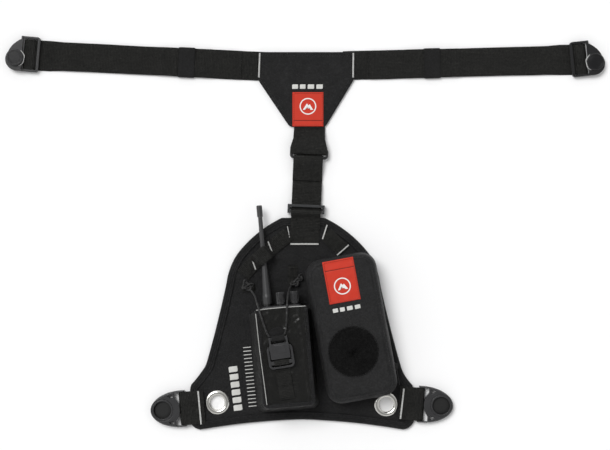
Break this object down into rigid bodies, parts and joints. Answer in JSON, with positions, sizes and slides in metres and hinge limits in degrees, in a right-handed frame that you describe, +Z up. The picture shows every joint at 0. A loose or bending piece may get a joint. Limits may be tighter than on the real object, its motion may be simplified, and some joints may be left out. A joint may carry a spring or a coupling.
{
  "type": "chest radio harness",
  "caption": "Chest harness with a radio in a clear-fronted pocket, a zipped pouch, a yoke, and shoulder straps with round-stud buckles.",
  "frame": {"origin": "on the floor, under the middle of the whole outline, with the harness lying flat, front side up", "axes": "+Z up, away from the wearer; +Y towards the head; +X to the right as seen from the front"},
  "size_m": [0.8128, 0.5342, 0.052],
  "materials": {
    "lining_mesh": "open knitted lining",
    "foam": "closed-cell foam",
    "pack_cloth": "coated woven pack cloth",
    "pouch_cloth": "coated woven pack cloth over foam",
    "pocket_cloth": "coated cloth with a satin face",
    "binding_tape": "ribbed edge tape",
    "webbing": "woven nylon webbing",
    "elastic": "woven elastic",
    "elastic_cord": "braided elastic cord",
    "nickel": "polished nickel plate",
    "grey_buckle": "moulded acetal",
    "black_buckle": "moulded acetal",
    "stud_plastic": "moulded acetal with a satin disc",
    "slider_plastic": "moulded acetal",
    "red_label": "soft moulded label",
    "radio_plastic": "textured polycarbonate",
    "battery_plastic": "textured polycarbonate",
    "circuit_board": "solder mask",
    "speaker_metal": "plain",
    "display_glass": "clear window over a grey display",
    "keypad_rubber": "moulded silicone",
    "knob_rubber": "fluted",
    "antenna_rubber": "moulded sleeve",
    "clear_film": "clear polyurethane film",
    "zip_tape": "woven zip tape with a nylon coil",
    "zip_metal": "black lacquer",
    "loop_fabric": "fuzzy loop pile"
  },
  "bodies": {
    "harness": {"panel_lining": "lining_mesh", "panel_foam": "foam", "panel_face": "pack_cloth", "panel_binding": "binding_tape", "grommet_left": "nickel", "grommet_right": "nickel", "grommet_washers": "nickel", "daisy_webbing_left": "webbing", "daisy_webbing_right": "webbing", "cord_anchors": "webbing", "corner_webbing_left": "webbing", "corner_webbing_right": "webbing", "yoke_lining": "lining_mesh", "yoke_face": "pack_cloth", "yoke_tag": "red_label", "shoulder_strap_left": "webbing", "shoulder_strap_right": "webbing", "strap_buckle_left": "black_buckle", "strap_buckle_right": "black_buckle", "strap_stud_left": "stud_plastic", "strap_stud_right": "stud_plastic", "center_ring": "black_buckle", "upper_strap_loop": "webbing", "center_strap": "webbing", "pocket_gusset": "pocket_cloth", "pocket_window": "clear_film", "pocket_strap": "webbing", "buckle_prong": "black_buckle", "hold_down_cord": "elastic_cord", "pouch_base": "pack_cloth", "pouch_hinge": "binding_tape", "zip_half_base": "zip_tape"},
    "corner_buckle_left": {"corner_buckle_left": "grey_buckle"},
    "corner_buckle_right": {"corner_buckle_right": "grey_buckle"},
    "strap_keeper_left": {"strap_keeper_left": "elastic"},
    "strap_keeper_right": {"strap_keeper_right": "elastic"},
    "strap_slider": {"strap_slider": "slider_plastic"},
    "radio": {"radio_front_housing": "radio_plastic", "radio_rear_housing": "radio_plastic", "radio_battery": "battery_plastic", "radio_circuit_board": "circuit_board", "radio_speaker": "speaker_metal", "radio_display": "display_glass", "radio_keypad": "keypad_rubber", "radio_antenna_socket": "nickel", "radio_antenna": "antenna_rubber", "radio_antenna_tip": "antenna_rubber"},
    "volume_knob": {"radio_volume_knob": "knob_rubber"},
    "channel_knob": {"radio_channel_knob": "knob_rubber"},
    "talk_button": {"radio_ptt_button": "keypad_rubber"},
    "side_key_upper": {"radio_side_key_upper": "keypad_rubber"},
    "side_key_lower": {"radio_side_key_lower": "keypad_rubber"},
    "hold_down": {"buckle_socket": "black_buckle", "hold_down_tab": "elastic"},
    "pouch_lid": {"pouch_lid": "pouch_cloth", "zip_half_lid": "zip_tape", "pouch_tag": "red_label", "loop_patch": "loop_fabric"},
    "zip_slider": {"zip_slider": "zip_metal"},
    "zip_pull": {"zip_pull": "zip_metal"}
  },
  "joints": [
    {"name": "corner_buckle_left_hinge", "type": "hinge", "parent": "harness", "child": "corner_buckle_left", "pos_m": [-0.1647, -0.2366, 0.0047], "axis": [-0.0785, 0.9969, 0], "range_deg": [0, 95]},
    {"name": "corner_buckle_right_hinge", "type": "hinge", "parent": "harness", "child": "corner_buckle_right", "pos_m": [0.1568, -0.2307, 0.0047], "axis": [-0.0698, -0.9976, 0], "range_deg": [0, 95]},
    {"name": "strap_keeper_left_slide", "type": "slide", "parent": "harness", "child": "strap_keeper_left", "axis": [-0.9988, 0.0489, 0], "range_m": [-0.02, 0.02]},
    {"name": "strap_keeper_right_slide", "type": "slide", "parent": "harness", "child": "strap_keeper_right", "axis": [0.9997, 0.0262, 0], "range_m": [-0.02, 0.02]},
    {"name": "strap_slider_slide", "type": "slide", "parent": "harness", "child": "strap_slider", "axis": [0.0436, 0.999, 0], "range_m": [0, 0.025]},
    {"name": "radio_slide", "type": "slide", "parent": "harness", "child": "radio", "axis": [-0.0872, 0.9962, 0], "range_m": [0, 0.02], "deforming": ["hold_down_cord"]},
    {"name": "volume_knob_turn", "type": "hinge", "parent": "radio", "child": "volume_knob", "pos_m": [-0.0327, -0.08726, 0.024], "axis": [-0.0872, 0.9962, 0], "range_deg": [0, 270]},
    {"name": "channel_knob_turn", "type": "hinge", "parent": "radio", "child": "channel_knob", "pos_m": [-0.01377, -0.08561, 0.024], "axis": [-0.0872, 0.9962, 0], "continuous": true},
    {"name": "talk_button_press", "type": "slide", "parent": "radio", "child": "talk_button", "axis": [0.9962, 0.0872, 0], "range_m": [0, 0.0012], "stiffness_N_per_m": 900, "springref_m": -0.001},
    {"name": "side_key_upper_press", "type": "slide", "parent": "radio", "child": "side_key_upper", "axis": [0.9962, 0.0872, 0], "range_m": [0, 0.0006], "stiffness_N_per_m": 900, "springref_m": -0.001},
    {"name": "side_key_lower_press", "type": "slide", "parent": "radio", "child": "side_key_lower", "axis": [0.9962, 0.0872, 0], "range_m": [0, 0.0006], "stiffness_N_per_m": 900, "springref_m": -0.001},
    {"name": "hold_down_release", "type": "slide", "parent": "harness", "child": "hold_down", "axis": [-0.1564, 0.9877, 0], "range_m": [0, 0.016], "deforming": ["hold_down_cord"]},
    {"name": "pouch_lid_hinge", "type": "hinge", "parent": "harness", "child": "pouch_lid", "pos_m": [0.0804, -0.22172, 0.0215], "axis": [0.9833, 0.1822, 0], "range_deg": [0, 110], "deforming": ["pouch_hinge"]},
    {"name": "zip_slider_slide", "type": "slide", "parent": "harness", "child": "zip_slider", "axis": [-0.1822, 0.9833, 0], "range_m": [0, 0.115]},
    {"name": "zip_pull_hinge", "type": "hinge", "parent": "zip_slider", "child": "zip_pull", "pos_m": [0.12331, -0.17802, 0.0215], "axis": [0, 0, 1], "range_deg": [0, 170]}
  ]
}
